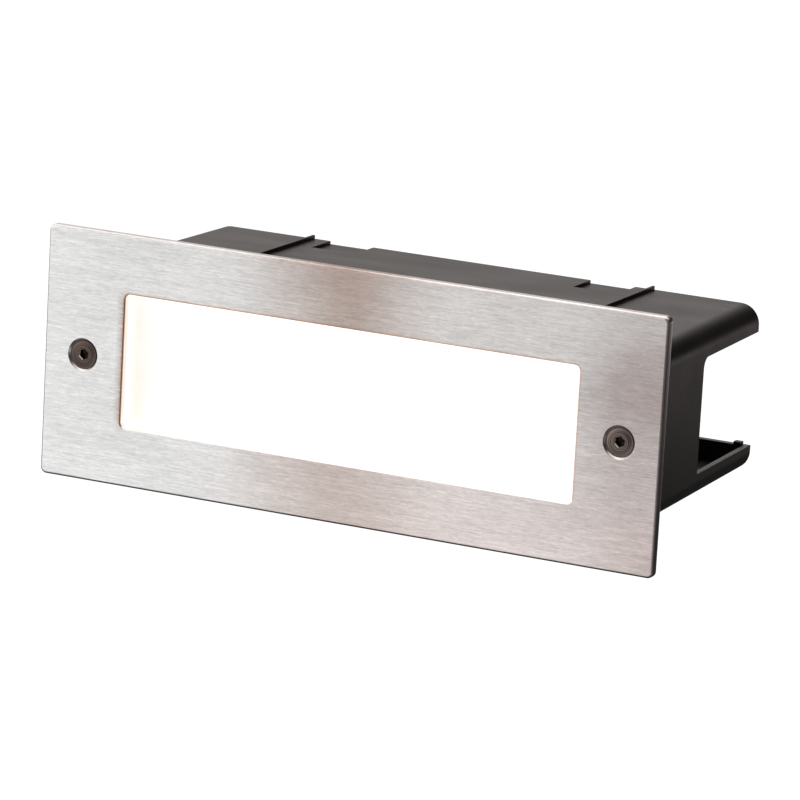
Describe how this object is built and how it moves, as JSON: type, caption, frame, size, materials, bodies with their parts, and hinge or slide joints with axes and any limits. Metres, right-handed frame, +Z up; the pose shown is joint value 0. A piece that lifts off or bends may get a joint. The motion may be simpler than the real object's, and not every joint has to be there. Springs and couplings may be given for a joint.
{
  "type": "recessed wall light",
  "caption": "Brick-format recessed wall light: brushed steel face with a lit frosted window on a sealed lamp insert, screwed into a black moulded wall box.",
  "frame": {"origin": "in the plane of the wall surface, at the centre of the recess", "axes": "+X to the right as someone facing the light sees it, +Y into the wall, +Z up; the face stands in front of the wall at negative Y"},
  "size_m": [0.231, 0.104, 0.088],
  "materials": {
    "face_steel": "horizontal brushed grain",
    "black_rubber": "matt",
    "frosted_glass": "frosted, lit from behind",
    "white_silicone": "matt",
    "box_plastic": "fine moulded grain",
    "cast_housing": "fine powder coat",
    "white_reflector": "satin",
    "board_white": "solder mask",
    "led_phosphor": "phosphor over a white frame",
    "connector_white": "satin",
    "zinc_screws": "zinc plated",
    "lead_red": "soft insulation",
    "lead_blue": "soft insulation",
    "lead_green": "soft insulation",
    "driver_plastic": "fine moulded grain",
    "terminal_plastic": "satin",
    "brass": "turned",
    "tinned_tag": "tinned",
    "gland_nylon": "satin moulded",
    "natural_nylon": "satin",
    "screw_steel": "turned, dark"
  },
  "bodies": {
    "mounting_box": {"mounting_box": "box_plastic", "threaded_inserts": "brass"},
    "lamp_insert": {"face_plate": "face_steel", "face_gasket": "black_rubber", "diffuser_glass": "frosted_glass", "glass_seal": "white_silicone", "lamp_housing": "cast_housing", "reflector": "white_reflector", "led_board": "board_white", "led_chips": "led_phosphor", "board_connector": "connector_white", "board_screws": "zinc_screws", "lead_grommet": "black_rubber", "led_leads": "lead_red", "driver_case": "driver_plastic", "driver_lid": "driver_plastic", "driver_screws": "zinc_screws", "terminal_block": "terminal_plastic", "terminal_screws": "brass", "mains_leads": "lead_blue", "earth_tag": "tinned_tag", "earth_screw": "brass", "earth_lead": "lead_green"},
    "rear_cover": {"cover_gasket": "black_rubber", "rear_cover": "cast_housing", "cover_screws": "zinc_screws", "gland_body": "gland_nylon", "gland_washer": "black_rubber", "gland_locknut": "gland_nylon", "gland_seal": "black_rubber"},
    "slip_ring": {"gland_slip_ring": "natural_nylon"},
    "gland_cap": {"gland_cap": "gland_nylon"},
    "left_washer": {"captive_washer_left": "natural_nylon"},
    "left_screw": {"face_screw_left": "screw_steel"},
    "right_washer": {"captive_washer_right": "natural_nylon"},
    "right_screw": {"face_screw_right": "screw_steel"}
  },
  "joints": [
    {"name": "insert_pull", "type": "slide", "parent": "mounting_box", "child": "lamp_insert", "axis": [0, -1, 0], "range_m": [0, 0.11]},
    {"name": "left_washer_travel", "type": "slide", "parent": "lamp_insert", "child": "left_washer", "axis": [0, -1, 0], "range_m": [0, 0.0116]},
    {"name": "left_screw_turn", "type": "hinge", "parent": "left_washer", "child": "left_screw", "pos_m": [-0.1005, 0, 0], "axis": [0, -1, 0], "range_deg": [0, 5225]},
    {"name": "right_washer_travel", "type": "slide", "parent": "lamp_insert", "child": "right_washer", "axis": [0, -1, 0], "range_m": [0, 0.0116]},
    {"name": "right_screw_turn", "type": "hinge", "parent": "right_washer", "child": "right_screw", "pos_m": [0.1005, 0, 0], "axis": [0, -1, 0], "range_deg": [0, 5225]},
    {"name": "cover_lift", "type": "slide", "parent": "lamp_insert", "child": "rear_cover", "axis": [0, 1, 0], "range_m": [0, 0.025]},
    {"name": "slip_ring_travel", "type": "slide", "parent": "rear_cover", "child": "slip_ring", "axis": [0, 1, 0], "range_m": [0, 0.0045]},
    {"name": "gland_cap_turn", "type": "hinge", "parent": "slip_ring", "child": "gland_cap", "pos_m": [-0.062, 0.08, 0], "axis": [0, 1, 0], "range_deg": [0, 1082]}
  ],
  "couplings": [
    {"joint": "left_screw_turn", "follows": "left_washer_travel", "rad_per_m": 7854},
    {"joint": "right_screw_turn", "follows": "right_washer_travel", "rad_per_m": 7854},
    {"joint": "gland_cap_turn", "follows": "slip_ring_travel", "rad_per_m": 4188.8}
  ]
}
